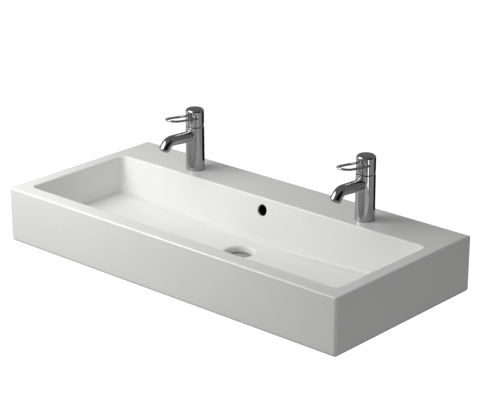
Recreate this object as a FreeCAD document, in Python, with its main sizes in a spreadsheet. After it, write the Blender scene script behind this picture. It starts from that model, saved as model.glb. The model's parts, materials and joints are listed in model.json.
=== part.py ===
import FreeCAD, Part
import math
import os
import re

import Sketcher
from FreeCAD import Placement, Rotation, Vector

# Wall-hung ceramic hand basin with two single-lever mixers and a push-open waste.
# Millimetres. +Z is up, the wall is the plane Y = 0 and the user stands on the -Y side.
# The origin lies on the wall, midway between the two wall-fixing holes.

SIZES = {
    # ceramic body
    "basin_width": 1000,
    "basin_depth": 470,
    "basin_height": 136,
    "rim_height": 70,
    "skirt_wall": 14,
    "ledge_wall": 14,
    "bowl_wall": 9,
    "floor_wall": 10,
    "bottom_edge_radius": 11,
    "corner_radius": 7,
    "top_edge_radius": 4,
    # bowl: rims at the top, how far each wall leans in on its way down, and the dished floor's fall
    "side_rim": 34,
    "front_rim": 41,
    "ledge_depth": 121,
    "side_lean": 5,
    "front_lean": 9,
    "back_lean": 26,
    "bowl_depth": 111,
    "floor_fall": 2.68,
    "floor_dish_radius": 20000,
    "bowl_corner_radius": 16,
    "bowl_foot_radius": 15,
    "rim_edge_radius": 4,
    # drain: soft-edged recess, conical seat and boss under the floor
    "drain_from_wall": 206,
    "recess_radius": 36,
    "recess_foot_radius": 31,
    "recess_depth": 16,
    "recess_edge_radius": 7,
    "seat_radius": 30,
    "seat_drop": 6,
    "seat_wall": 3,
    "drain_hole_radius": 23,
    "boss_radius": 40,
    "boss_height": 38,
    # overflow hole and the duct behind and under the bowl
    "overflow_radius": 13.5,
    "overflow_below_rim": 30,
    "overflow_edge_radius": 1.5,
    "duct_width": 30,
    "duct_from_wall": 86,
    "duct_wall": 7,
    "duct_below_rim": 15,
    # holes in the ceramic
    "tap_pitch": 526,
    "tap_from_wall": 75,
    "tap_hole_radius": 17.5,
    "fixing_pitch": 280,
    "fixing_hole_radius": 7,
    # clearances
    "cut_margin": 5,
    "fit_gap": 0.05,
    "running_gap": 0.4,
    # mixer body and spout
    "body_base_radius": 23.2,
    "body_top_radius": 22.6,
    "body_height": 110,
    "body_base_edge": 1.5,
    "body_top_edge": 0.8,
    "base_lift": 0.3,
    "gasket_inner_radius": 18.5,
    "gasket_lip": 1.2,
    "gasket_height": 2,
    "spout_below_top": 24,
    "spout_rise": 4,
    "spout_run": 80,
    "spout_root_radius": 14.4,
    "spout_tip_radius": 13.1,
    "spout_root_fillet": 3,
    "bend_radius": 26,
    "spout_drop": 50,
    "nose_length": 12,
    "waterway_radius": 7.5,
    # aerator
    "aerator_radius": 11.2,
    "aerator_depth": 11,
    "aerator_wall": 1.7,
    "aerator_proud": 0.8,
    "aerator_seal_height": 1.5,
    "aerator_insert_height": 6,
    "aerator_jet_radius": 0.8,
    "aerator_ring_radius": 5.6,
    "aerator_inner_ring_radius": 2.8,
    # cartridge, stacked up from its seat in the mixer body
    "cartridge_depth": 44.5,
    "cartridge_radius": 17.2,
    "chamber_gap": 0.5,
    "nut_thread_radius": 18.5,
    "cartridge_seal_height": 1.5,
    "cartridge_base_height": 4,
    "fixed_disc_height": 4,
    "moving_disc_height": 4,
    "carrier_height": 7,
    "collar_flange_height": 8,
    "housing_roof": 3,
    "neck_height": 9,
    "neck_wall": 2.65,
    "housing_wall": 2.6,
    "moving_disc_radius": 8.8,
    "moving_disc_offset": 2.7,
    "mixing_recess_depth": 2,
    "mixing_recess_radius": 6.5,
    "collar_radius": 10.3,
    "collar_height": 18.5,
    "collar_slot": 17,
    "pivot_above_shoulder": 3,
    "pin_radius": 1.75,
    "spindle_width": 7.6,
    "spindle_depth": 6,
    "spindle_arm": 3.4,
    "spindle_shoulder": 5,
    "ball_radius": 2.9,
    "ball_sink": 2,
    "cartridge_nut_height": 8,
    "nut_slot_width": 4,
    "nut_slot_depth": 2.5,
    # cover ring under the handle cap
    "cover_flange_height": 1.65,
    "cover_inner_radius": 14,
    "cover_opening_radius": 12.4,
    "cover_wall": 1.4,
    "dome_gap": 0.5,
    # handle cap and lever loop
    "seam_gap": 1.8,
    "cap_radius": 22.4,
    "cap_height": 43.2,
    "cap_crown": 1.2,
    "cap_edge_radius": 6.5,
    "cap_wall": 2.9,
    "cap_cavity": 15.5,
    "cap_relief_angle": 22,
    "socket_depth": 13,
    "loop_above_seam": 20.2,
    "loop_rise": 7.5,
    "loop_half_width": 17.5,
    "loop_start": 4,
    "loop_reach": 92,
    "loop_rod_radius": 2.9,
    "screw_above_cavity": 6.5,
    "screw_radius": 2.5,
    "screw_length": 12,
    "screw_key_flats": 2.5,
    "screw_key_depth": 3,
    "plug_button_radius": 3.2,
    "plug_button_depth": 4,
    # water inlets and fixing set under the ledge
    "inlet_spread": 17,
    "inlet_back": 6,
    "inlet_radius": 4.5,
    "inlet_depth": 12,
    "passage_radius": 3.5,
    "stud_front": 10.5,
    "stud_radius": 4,
    "stud_engagement": 14,
    "stud_tail": 25,
    "clamp_radius": 24,
    "clamp_slot": 30,
    "clamp_slot_front": 2,
    "clamp_gasket_height": 2.5,
    "clamp_plate_height": 3,
    "fixing_nut_flats": 13,
    "fixing_nut_height": 10,
    # waste, measured from its seat in the drain recess
    "flange_radius": 29,
    "lip_height": 2.2,
    "lip_width": 3.5,
    "lip_edge_radius": 0.9,
    "dish_depth": 6.3,
    "seal_height": 1.5,
    "seal_margin": 0.6,
    "waste_radius": 20.95,
    "waste_bore": 18,
    "tail_length": 50,
    "trap_thread": 30,
    "relief_width": 3,
    "relief_depth": 0.8,
    "slot_width": 18,
    "slot_height": 9,
    "spider_below_boss": 1,
    "spider_height": 6,
    "spider_bar": 4,
    "hub_radius": 9.5,
    "lower_seal_radius": 31,
    "lower_seal_height": 3,
    "waste_nut_flats": 56,
    "waste_nut_height": 10,
    "waste_nut_collar_radius": 31,
    "waste_nut_collar_height": 2.5,
    "plug_radius": 27.5,
    "plug_gap": 0.6,
    "plug_rim": 1.6,
    "plug_edge_radius": 1,
    "plug_crown": 1.2,
    "plug_core_radius": 12,
    "plug_core_height": 6,
    "plug_foot_radius": 14,
    "plug_foot_height": 1.2,
    "plug_boss_radius": 6,
    "plug_boss_height": 4.5,
    "plug_seal_lip": 1.5,
    "plug_seal_top_radius": 15,
    "stem_radius": 3.5,
    "stem_seat_depth": 4,
    "stem_length": 28,
    "stem_foot_radius": 5,
    "stem_foot_height": 2,
    "click_radius": 6.5,
    "click_wall": 1.1,
    "click_flange_radius": 8.8,
    "click_flange_height": 2,
    "click_above_hub": 14,
    "click_roof": 4,
    "click_below_hub": 20,
    "click_floor": 2,
}

doc = FreeCAD.newDocument("hand_basin")
sheet = doc.addObject("Spreadsheet::Sheet", "Sizes")
for row, (alias, number) in enumerate(SIZES.items(), start=1):
    sheet.set(f"A{row}", alias)
    sheet.set(f"B{row}", str(number))
    sheet.setAlias(f"B{row}", alias)
doc.recompute()


# Formulas: sizes are written by name and bound to the sheet's cells.

def formula(text):
    """Point each size named in a formula at its cell."""
    return re.sub(r"[a-z_]+", lambda word: f"Sizes.{word[0]}" if word[0] in SIZES else word[0], text)


def value(text):
    """Work out a formula now, for starting positions and for picking edges."""
    return float(sheet.evalExpression(formula(text)))


def bind(thing, formulas):
    for name, text in formulas.items():
        thing.setExpression(name, formula(text))


def seat(thing, prop, spot, tilt=None, axis=(-1, 0, 0)):
    """Bind a placement's position, and its turn about an axis, to formulas."""
    if tilt is not None:
        setattr(thing, prop, Placement(Vector(), Rotation(Vector(*axis), value(tilt))))
        bind(thing, {f"{prop}.Rotation.Angle": tilt})
    bind(thing, {f"{prop}.Base.{way}": text for way, text in zip("xyz", spot)})


# Drawing: sketches on a body's own planes, with every point held by formulas.

def attach(thing, body, role, spot=("0", "0", "0"), tilt=None):
    plane = next(item for item in body.Origin.OriginFeatures if item.Role == role)
    thing.AttachmentSupport = [(plane, "")]
    thing.MapMode = "FlatFace"
    seat(thing, "AttachmentOffset", spot, tilt)
    return thing


def sketch_on(body, role, spot=("0", "0", "0"), tilt=None):
    sketch = body.newObject("Sketcher::SketchObject", f"{body.Name}_sketch")
    return attach(sketch, body, role, spot, tilt)


def hold(sketch, kind, parts, text):
    number = sketch.addConstraint(Sketcher.Constraint(kind, *parts, value(text)))
    bind(sketch, {f"Constraints[{number}]": text})


def hold_point(sketch, point, x, y):
    hold(sketch, "DistanceX", (-1, 1, *point), x)
    hold(sketch, "DistanceY", (-1, 1, *point), y)


def add_arc(sketch, here, there, radius, side):
    """An arc under a half circle; side +1 puts its centre to the left of the way from here to there."""
    chord = there - here
    across = Vector(-chord.y, chord.x, 0).normalize()
    away = side * math.sqrt(radius ** 2 - (chord.Length / 2) ** 2)
    centre = (here + there) * 0.5 + across * away
    first, last = (here, there) if side > 0 else (there, here)
    angles = [math.atan2(end.y - centre.y, end.x - centre.x) for end in (first, last)]
    circle = Part.Circle(centre, Vector(0, 0, 1), radius)
    return sketch.addGeometry(Part.ArcOfCircle(circle, *angles), False)


def draw(sketch, points, closed=True):
    """Join points (x, y) by lines; a third entry (radius, side) makes the stretch that follows an arc."""
    spots = [Vector(value(point[0]), value(point[1]), 0) for point in points]
    stretches = len(points) if closed else len(points) - 1
    starts = []
    ends = []
    for number in range(stretches):
        here = spots[number]
        there = spots[(number + 1) % len(points)]
        side = 1
        if len(points[number]) == 2:
            edge = sketch.addGeometry(Part.LineSegment(here, there), False)
        else:
            radius, side = points[number][2]
            edge = add_arc(sketch, here, there, value(radius), side)
            hold(sketch, "Radius", (edge,), radius)
        starts.append((edge, 1 if side > 0 else 2))
        ends.append((edge, 2 if side > 0 else 1))
    for number in range(stretches if closed else stretches - 1):
        follower = starts[(number + 1) % stretches]
        sketch.addConstraint(Sketcher.Constraint("Coincident", *ends[number], *follower))
    for point, start in zip(points, starts):
        hold_point(sketch, start, point[0], point[1])
    if not closed:
        hold_point(sketch, ends[-1], points[-1][0], points[-1][1])
    return sketch


def draw_circle(sketch, x, y, radius):
    centre = Vector(value(x), value(y), 0)
    edge = sketch.addGeometry(Part.Circle(centre, Vector(0, 0, 1), value(radius)), False)
    hold_point(sketch, (edge, 3), x, y)
    hold(sketch, "Radius", (edge,), radius)
    return sketch


def rectangle(left, low, right, high):
    return [(left, low), (right, low), (right, high), (left, high)]


def hexagon(flats):
    corner = f"({flats})/sqrt(3)"
    return [(f"{corner}*cos({60 * n})", f"{corner}*sin({60 * n})") for n in range(6)]


# Features: one call adds one feature to a body, and a cut has to take something away.

def new_body(label):
    return doc.addObject("PartDesign::Body", label)


def feature(body, kind, formulas, **settings):
    made = body.newObject(f"PartDesign::{kind}", f"{body.Name}_{kind}")
    for name, setting in settings.items():
        setattr(made, name, setting)
    bind(made, formulas)
    return made


def cut(body, kind, formulas, **settings):
    doc.recompute()
    before = body.Shape.Volume
    made = feature(body, kind, formulas, **settings)
    doc.recompute()
    if body.Shape.Volume >= before:
        raise RuntimeError(f"{made.Name} cuts nothing")
    return made


def revolve(body, sketch):
    return feature(body, "Revolution", {}, Profile=sketch, ReferenceAxis=(sketch, ["V_Axis"]), Angle=360)


def groove(body, sketch):
    return cut(body, "Groove", {}, Profile=sketch, ReferenceAxis=(sketch, ["V_Axis"]), Angle=360)


def pad(body, sketch, length):
    return feature(body, "Pad", {"Length": length}, Profile=sketch)


def pocket(body, sketch, length, along=False):
    """Cut against the sketch's normal, or along it."""
    return cut(body, "Pocket", {"Length": length}, Profile=sketch, Reversed=along)


def bore_across(body, sketch):
    """Cut right through on both sides of the sketch."""
    return cut(body, "Pocket", {}, Profile=sketch, Type="ThroughAll", Midplane=True)


def fillet(body, radius, wanted):
    doc.recompute()
    base = body.Tip
    names = [f"Edge{n}" for n, edge in enumerate(base.Shape.Edges, start=1) if wanted(edge.BoundBox)]
    if not names:
        raise RuntimeError(f"{body.Label} has no edge for its {radius}")
    return feature(body, "Fillet", {"Radius": radius}, Base=(base, names))


def turned(label, points):
    body = new_body(label)
    revolve(body, draw(sketch_on(body, "XZ_Plane"), points))
    return body


def ring(label, inner, outer, low, high):
    return turned(label, rectangle(inner, low, outer, high))


def solid(kind, name, formulas, spot, tilt=None):
    """A Part primitive with its sizes and place bound."""
    made = doc.addObject(f"Part::{kind}", name)
    bind(made, formulas)
    seat(made, "Placement", spot, tilt, axis=(1, 0, 0))
    return made


# Heights in the basin.
BOTTOM = "rim_height - basin_height"
DRAIN_FLOOR = "rim_height - bowl_depth"
BOSS_BOTTOM = f"{DRAIN_FLOOR} - boss_height"


def bowl_form(label, grow, top, floor, corner, foot):
    """The bowl as a solid: leaning walls, a dished floor falling to the drain, rounded corners and foot."""
    body = new_body(label)
    half = f"basin_width/2 - side_rim + {grow}"
    back = f"ledge_depth - {grow}"
    front = f"basin_depth - front_rim + {grow}"
    walls = feature(body, "AdditiveWedge", {
        "Ymin": f"{floor} - cut_margin",
        "Ymax": top,
        "X2min": f"-({half})",
        "X2max": half,
        "Xmin": f"side_lean - ({half})",
        "Xmax": f"{half} - side_lean",
        "Z2min": back,
        "Z2max": front,
        "Zmin": f"{back} + back_lean",
        "Zmax": f"{front} - front_lean",
    })
    walls.AttachmentOffset = Placement(Vector(), Rotation(Vector(1, 0, 0), 90))
    plane = next(item for item in body.Origin.OriginFeatures if item.Role == "XY_Plane")
    walls.AttachmentSupport = [(plane, "")]
    walls.MapMode = "FlatFace"
    below = sketch_on(body, "XZ_Plane", ("0", "0", "drain_from_wall"))
    past_corners = "(basin_width + basin_depth)/2"
    draw(below, [
        ("0", floor, ("floor_dish_radius", 1)),
        (past_corners, f"{floor} + {past_corners}*tan(floor_fall)"),
        (past_corners, f"{floor} - 2*cut_margin"),
        ("0", f"{floor} - 2*cut_margin"),
    ])
    groove(body, below)
    tall = value("bowl_depth/2")
    fillet(body, corner, lambda box: box.ZLength > tall)
    low = value("rim_height - bowl_depth/2")
    fillet(body, foot, lambda box: box.ZMax < low)
    return body


def make_basin():
    block = new_body("skirt_block")
    plan = rectangle("-basin_width/2", "-basin_depth", "basin_width/2", "0")
    pad(block, draw(sketch_on(block, "XY_Plane", ("0", "0", BOTTOM)), plan), "basin_height")
    bottom = value(BOTTOM)
    rim = value("rim_height")
    edge = value("fit_gap")
    fillet(block, "bottom_edge_radius", lambda box: box.ZMax < bottom + edge and box.YMin < -edge)
    tall = value("basin_height/2")
    front = value("-basin_depth/2")
    fillet(block, "corner_radius", lambda box: box.ZLength > tall and box.YMax < front)
    fillet(block, "top_edge_radius", lambda box: box.ZMin > rim - edge)
    inside = rectangle("skirt_wall - basin_width/2", "skirt_wall - basin_depth",
                       "basin_width/2 - skirt_wall", "-skirt_wall")
    pocket(block, draw(sketch_on(block, "XY_Plane", ("0", "0", BOTTOM)), inside),
           "basin_height - ledge_wall", along=True)

    bowl_outside = bowl_form("bowl_outside", "bowl_wall", "rim_height - ledge_wall/2",
                             f"{DRAIN_FLOOR} - floor_wall", "bowl_corner_radius + bowl_wall",
                             "bowl_foot_radius + floor_wall")
    bowl_inside = bowl_form("bowl_inside", "0", "rim_height", DRAIN_FLOOR,
                            "bowl_corner_radius", "bowl_foot_radius")
    boss = solid("Cylinder", "drain_boss", {
        "Radius": "boss_radius",
        "Height": f"{DRAIN_FLOOR} - ({BOSS_BOTTOM})",
    }, ("0", "-drain_from_wall", BOSS_BOTTOM))
    case = solid("Box", "duct_case", {
        "Length": "duct_width + 2*duct_wall",
        "Width": "drain_from_wall - duct_from_wall + duct_wall",
        "Height": f"rim_height - ledge_wall/2 - ({BOSS_BOTTOM})",
    }, ("-duct_width/2 - duct_wall", "-drain_from_wall", BOSS_BOTTOM))
    way = solid("Box", "duct_space", {
        "Length": "duct_width",
        "Width": "drain_from_wall - duct_from_wall",
        "Height": f"rim_height - duct_below_rim - duct_wall - ({BOSS_BOTTOM})",
    }, ("-duct_width/2", "-drain_from_wall", f"{BOSS_BOTTOM} + duct_wall"))
    seat_block = solid("Cylinder", "seat_block", {
        "Radius": "recess_radius + seat_wall",
        "Height": "recess_depth + seat_drop + seat_wall",
    }, ("0", "-drain_from_wall", f"{DRAIN_FLOOR} - recess_depth - seat_drop - seat_wall"))
    overflow = solid("Cylinder", "overflow_hole", {
        "Radius": "overflow_radius",
        "Height": "ledge_depth + back_lean - duct_from_wall",
    }, ("0", "-duct_from_wall - fit_gap", "rim_height - overflow_below_rim"), "90")

    above_duct = doc.addObject("Part::MultiFuse", "above_duct")
    above_duct.Shapes = [bowl_outside, seat_block]
    duct = doc.addObject("Part::Cut", "duct_way")
    duct.Base = way
    duct.Tool = above_duct
    ceramic = doc.addObject("Part::MultiFuse", "ceramic")
    ceramic.Shapes = [block, bowl_outside, boss, case]
    hollows = doc.addObject("Part::MultiFuse", "hollows")
    hollows.Shapes = [bowl_inside, duct, overflow]
    hollowed = doc.addObject("Part::Cut", "hollowed_ceramic")
    hollowed.Base = ceramic
    hollowed.Tool = hollows
    hollowed.Refine = True
    doc.recompute()

    basin = new_body("basin")
    basin.BaseFeature = hollowed
    recess = f"{DRAIN_FLOOR} - recess_depth"
    recess_slope = "(recess_radius - recess_foot_radius)/recess_depth"
    above_floor = "2*cut_margin"
    drain = sketch_on(basin, "XZ_Plane", ("0", "0", "drain_from_wall"))
    groove(basin, draw(drain, [
        ("0", f"{BOSS_BOTTOM} - cut_margin"),
        ("drain_hole_radius", f"{BOSS_BOTTOM} - cut_margin"),
        ("drain_hole_radius", f"{recess} - seat_drop"),
        ("seat_radius", recess),
        ("recess_foot_radius", recess),
        (f"recess_radius + {above_floor}*{recess_slope}", f"{DRAIN_FLOOR} + {above_floor}"),
        ("0", f"{DRAIN_FLOOR} + {above_floor}"),
    ]))
    taps = sketch_on(basin, "XY_Plane", ("0", "0", "rim_height"))
    for side in ("-", ""):
        draw_circle(taps, f"{side}tap_pitch/2", "-tap_from_wall", "tap_hole_radius")
    pocket(basin, taps, "ledge_wall + fit_gap")
    fixings = sketch_on(basin, "XZ_Plane")
    for side in ("-", ""):
        draw_circle(fixings, f"{side}fixing_pitch/2", "0", "fixing_hole_radius")
    pocket(basin, fixings, "skirt_wall + fit_gap", along=True)

    reach = value("recess_radius + cut_margin")
    middle = value("-drain_from_wall")
    flat = value("recess_depth/2")
    floor = value(DRAIN_FLOOR)
    fillet(basin, "recess_edge_radius", lambda box: abs(box.ZMax - floor) < flat and box.XMax < reach
           and box.XLength > reach and abs(box.YMax + box.YMin - 2 * middle) < edge)
    half = value("basin_width/2 - side_rim") + edge
    holes = value("-ledge_depth") + edge
    fillet(basin, "rim_edge_radius", lambda box: box.ZMin > rim - edge and box.YMax < holes
           and box.XMax < half and box.XMin > -half and box.YMin > value("front_rim - basin_depth") - edge)
    wide = value("overflow_radius") + edge
    span = value("2*overflow_radius - fit_gap")
    middle = value("rim_height - overflow_below_rim")
    fillet(basin, "overflow_edge_radius", lambda box: box.XMax < wide and box.XLength > span
           and box.YMax < holes and abs(box.ZMax + box.ZMin - 2 * middle) < wide)
    return basin


# Heights in a mixer, from the top of the ledge.
SEAT = "body_height - cartridge_depth"
BASE_LOW = f"{SEAT} + cartridge_seal_height"
FIXED_LOW = f"{BASE_LOW} + cartridge_base_height"
MOVING_LOW = f"{FIXED_LOW} + fixed_disc_height + fit_gap"
CARRIER_LOW = f"{MOVING_LOW} + moving_disc_height"
CARRIER_TOP = f"{CARRIER_LOW} + carrier_height"
COLLAR_LOW = f"{CARRIER_TOP} + running_gap"
COLLAR_SHOULDER = f"{COLLAR_LOW} + collar_flange_height"
HOUSING_CEILING = f"{COLLAR_SHOULDER} + running_gap"
HOUSING_SHOULDER = f"{HOUSING_CEILING} + housing_roof"
NECK_TOP = f"{HOUSING_SHOULDER} + neck_height"
NUT_TOP = f"{HOUSING_SHOULDER} + cartridge_nut_height"
COVER_SHOULDER = f"{NUT_TOP} + cover_flange_height"
PIVOT = f"{COLLAR_SHOULDER} + pivot_above_shoulder"
BALL = f"{CARRIER_TOP} - ball_sink"
CAP_LOW = "body_height + seam_gap"
CAP_TOP = f"{CAP_LOW} + cap_height"
CAVITY_TOP = f"{CAP_LOW} + cap_cavity"
SOCKET_TOP = f"{CAVITY_TOP} + socket_depth"
SCREW_HEIGHT = f"{CAVITY_TOP} + screw_above_cavity"
LOOP = f"{CAP_LOW} + loop_above_seam"

# The spout's centre line: distance out from the mixer's axis, and height.
SPOUT = "body_height - spout_below_top"
BEND_OUT = "spout_run*cos(spout_rise)"
BEND_UP = f"{SPOUT} + spout_run*sin(spout_rise)"
TURN_OUT = f"{BEND_OUT} + bend_radius*(sin(spout_rise) + sin(spout_drop))"
TURN_UP = f"{BEND_UP} - bend_radius*(cos(spout_rise) - cos(spout_drop))"
NOSE_OUT = f"{TURN_OUT} + nose_length*cos(spout_drop)"
NOSE_UP = f"{TURN_UP} - nose_length*sin(spout_drop)"
SPOUT_BEND = [
    (f"-({BEND_OUT})", BEND_UP, ("bend_radius", 1)),
    (f"-({TURN_OUT})", TURN_UP),
    (f"-({NOSE_OUT})", NOSE_UP),
]


def sweep(body, kind, path, profile):
    return feature(body, kind, {}, Profile=profile, Spine=(path, []))


def ports(body, height, depth, along=False):
    """The two water ways beside each other at the back of a mixer's base or cartridge."""
    sketch = sketch_on(body, "XY_Plane", ("0", "0", height))
    for side in ("-", ""):
        draw_circle(sketch, f"{side}inlet_spread/2", "inlet_back", "passage_radius")
    pocket(body, sketch, depth, along)


def make_mixer_body(name):
    body = turned(name("mixer_body"), [
        ("0", "base_lift"),
        ("body_base_radius", "base_lift"),
        ("body_top_radius", "body_height"),
        ("0", "body_height"),
    ])
    straight = feature(body, "AdditiveCone", {
        "Radius1": "spout_root_radius",
        "Radius2": "spout_tip_radius",
        "Height": "spout_run",
    })
    attach(straight, body, "XZ_Plane", ("0", SPOUT, "0"), "spout_rise")
    around = value("body_base_radius + cut_margin")
    fillet(body, "spout_root_fillet", lambda box: box.YMax < 0 and box.YMin > -around
           and box.XLength > around / 2 and box.ZLength > around / 2)
    bend = draw(sketch_on(body, "YZ_Plane"), SPOUT_BEND, closed=False)
    tube = sketch_on(body, "XZ_Plane", ("0", BEND_UP, BEND_OUT), "spout_rise")
    sweep(body, "AdditivePipe", bend, draw_circle(tube, "0", "0", "spout_tip_radius"))
    low = value("base_lift + fit_gap")
    high = value("body_height - fit_gap")
    fillet(body, "body_base_edge", lambda box: box.ZMax < low)
    fillet(body, "body_top_edge", lambda box: box.ZMin > high)
    chamber = "cartridge_radius + chamber_gap"
    groove(body, draw(sketch_on(body, "XZ_Plane"), [
        ("0", SEAT),
        (chamber, SEAT),
        (chamber, HOUSING_SHOULDER),
        ("nut_thread_radius", HOUSING_SHOULDER),
        ("nut_thread_radius", "body_height + cut_margin"),
        ("0", "body_height + cut_margin"),
    ]))
    line = draw(sketch_on(body, "YZ_Plane"), [("0", SPOUT)] + SPOUT_BEND, closed=False)
    water = sketch_on(body, "XZ_Plane", ("0", SPOUT, "0"), "spout_rise")
    sweep(body, "SubtractivePipe", line, draw_circle(water, "0", "0", "waterway_radius"))
    socket = feature(body, "SubtractiveCylinder", {
        "Radius": "aerator_radius + fit_gap",
        "Height": "aerator_depth",
    })
    attach(socket, body, "XZ_Plane", ("0", NOSE_UP, NOSE_OUT), "180 - spout_drop")
    gasket = [("gasket_inner_radius - fit_gap", "0"), ("body_base_radius - gasket_lip + fit_gap", "0"),
              ("body_base_radius - gasket_lip + fit_gap", "gasket_height"),
              ("gasket_inner_radius - fit_gap", "gasket_height")]
    groove(body, draw(sketch_on(body, "XZ_Plane"), gasket))
    inlets = sketch_on(body, "XY_Plane")
    for side in ("-", ""):
        draw_circle(inlets, f"{side}inlet_spread/2", "inlet_back", "inlet_radius")
    pocket(body, inlets, "inlet_depth + base_lift", along=True)
    ports(body, "0", f"{SEAT} + fit_gap", along=True)
    stud = sketch_on(body, "XY_Plane")
    pocket(body, draw_circle(stud, "0", "-stud_front", "stud_radius + fit_gap"),
           "stud_engagement + running_gap", along=True)
    return body


def make_aerator(name, spot):
    """Housing ring, jet insert and seal, along the spout's nose; local +Z points up into the spout."""
    inside = "aerator_radius - aerator_wall"
    roof = "aerator_depth - aerator_seal_height"
    housing = ring(name("aerator_housing"), inside, "aerator_radius", "-aerator_proud", roof)
    edge = value("fit_gap - aerator_proud")
    fillet(housing, "aerator_proud/2", lambda box: box.ZMax < edge)
    insert = ring(name("aerator_insert"), "aerator_jet_radius", f"{inside} - fit_gap",
                  f"{roof} - aerator_insert_height", roof)
    for count, radius in ((12, "aerator_ring_radius"), (6, "aerator_inner_ring_radius")):
        jets = sketch_on(insert, "XY_Plane", ("0", "0", roof))
        for number in range(count):
            turn = 360 / count * number
            draw_circle(jets, f"({radius})*cos({turn})", f"({radius})*sin({turn})", "aerator_jet_radius")
        pocket(insert, jets, "aerator_insert_height + fit_gap")
    seal = ring(name("aerator_seal"), "waterway_radius", "aerator_radius", roof, "aerator_depth")
    nose = (spot[0], f"{spot[1]} - ({NOSE_OUT})", f"{spot[2]} + {NOSE_UP}")
    for body in (housing, insert, seal):
        seat(body, "Placement", nose, "90 - spout_drop")
    return [housing, insert, seal]


def make_cartridge(name):
    inside = "cartridge_radius - housing_wall"
    neck = "collar_radius + fit_gap"
    seal = ring(name("cartridge_seal"), "running_gap", "cartridge_radius", SEAT, BASE_LOW)
    base = ring(name("cartridge_base"), "running_gap", "cartridge_radius", BASE_LOW, FIXED_LOW)
    fixed = ring(name("fixed_disc"), "running_gap", f"{inside} - fit_gap", FIXED_LOW,
                 f"{FIXED_LOW} + fixed_disc_height")
    for body, low, depth in ((seal, SEAT, "cartridge_seal_height"), (base, BASE_LOW, "cartridge_base_height"),
                             (fixed, FIXED_LOW, "fixed_disc_height")):
        ports(body, low, f"{depth} + fit_gap", along=True)

    housing = turned(name("cartridge_housing"), [
        (inside, FIXED_LOW),
        ("cartridge_radius", FIXED_LOW),
        ("cartridge_radius", HOUSING_SHOULDER),
        (f"{neck} + neck_wall", HOUSING_SHOULDER),
        (f"{neck} + neck_wall", NECK_TOP),
        (neck, NECK_TOP),
        (neck, HOUSING_CEILING),
        (inside, HOUSING_CEILING),
    ])
    window = sketch_on(housing, "XZ_Plane")
    draw(window, rectangle("-waterway_radius", f"{SPOUT} - waterway_radius",
                           "waterway_radius", f"{SPOUT} + waterway_radius"))
    pocket(housing, window, "cartridge_radius + cut_margin", along=True)

    moving = new_body(name("moving_disc"))
    plate = sketch_on(moving, "XY_Plane", ("0", "0", MOVING_LOW))
    pad(moving, draw_circle(plate, "0", "moving_disc_offset", "moving_disc_radius"), "moving_disc_height")
    recess = sketch_on(moving, "XY_Plane", ("0", "0", MOVING_LOW))
    pocket(moving, draw_circle(recess, "0", "moving_disc_offset", "mixing_recess_radius"),
           "mixing_recess_depth", along=True)

    carrier = new_body(name("disc_carrier"))
    plate = sketch_on(carrier, "XY_Plane", ("0", "0", CARRIER_LOW))
    pad(carrier, draw_circle(plate, "0", "moving_disc_offset", "moving_disc_radius"), "carrier_height")
    cup = sketch_on(carrier, "XY_Plane", ("0", "0", CARRIER_TOP))
    pocket(carrier, draw_circle(cup, "0", "0", "ball_radius + running_gap"),
           "ball_sink + ball_radius + running_gap")

    collar = turned(name("turning_collar"), [
        ("0", COLLAR_LOW),
        (f"{inside} - running_gap", COLLAR_LOW),
        (f"{inside} - running_gap", COLLAR_SHOULDER),
        ("collar_radius", COLLAR_SHOULDER),
        ("collar_radius", f"{COLLAR_LOW} + collar_height"),
        ("0", f"{COLLAR_LOW} + collar_height"),
    ])
    slot = sketch_on(collar, "XY_Plane", ("0", "0", COLLAR_LOW))
    draw(slot, rectangle("-spindle_width/2 - running_gap", "-collar_slot/2",
                         "spindle_width/2 + running_gap", "collar_slot/2"))
    pocket(collar, slot, "collar_height + fit_gap", along=True)
    eye = draw_circle(sketch_on(collar, "YZ_Plane"), "0", PIVOT, "pin_radius + fit_gap")
    bore_across(collar, eye)

    pin = new_body(name("spindle_pin"))
    rod = sketch_on(pin, "YZ_Plane", ("0", "0", "running_gap - collar_radius"))
    pad(pin, draw_circle(rod, "0", PIVOT, "pin_radius"), "2*(collar_radius - running_gap)")

    nut = ring(name("cartridge_nut"), f"{neck} + neck_wall + fit_gap", "nut_thread_radius - fit_gap",
               HOUSING_SHOULDER, NUT_TOP)
    slots = sketch_on(nut, "XY_Plane", ("0", "0", NUT_TOP))
    draw(slots, rectangle("-nut_slot_width/2", "-nut_thread_radius", "nut_slot_width/2", "nut_thread_radius"))
    pocket(nut, slots, "nut_slot_depth")
    return [seal, base, fixed, housing, moving, carrier, collar, pin, nut]


def make_spindle(name):
    body = new_body(name("spindle"))
    shoulder = f"{PIVOT} - spindle_shoulder"
    blade = sketch_on(body, "XY_Plane", ("0", "0", shoulder))
    draw(blade, rectangle("-spindle_width/2", "-spindle_depth/2", "spindle_width/2", "spindle_depth/2"))
    pad(body, blade, f"{SOCKET_TOP} - running_gap - ({shoulder})")
    arm = sketch_on(body, "XY_Plane", ("0", "0", BALL))
    draw(arm, rectangle("-spindle_arm/2", "-spindle_arm/2", "spindle_arm/2", "spindle_arm/2"))
    pad(body, arm, f"{shoulder} - ({BALL})")
    ball = feature(body, "AdditiveSphere", {"Radius": "ball_radius"})
    attach(ball, body, "XY_Plane", ("0", "0", BALL))
    bore_across(body, draw_circle(sketch_on(body, "YZ_Plane"), "0", PIVOT, "pin_radius + fit_gap"))
    return body


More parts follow.
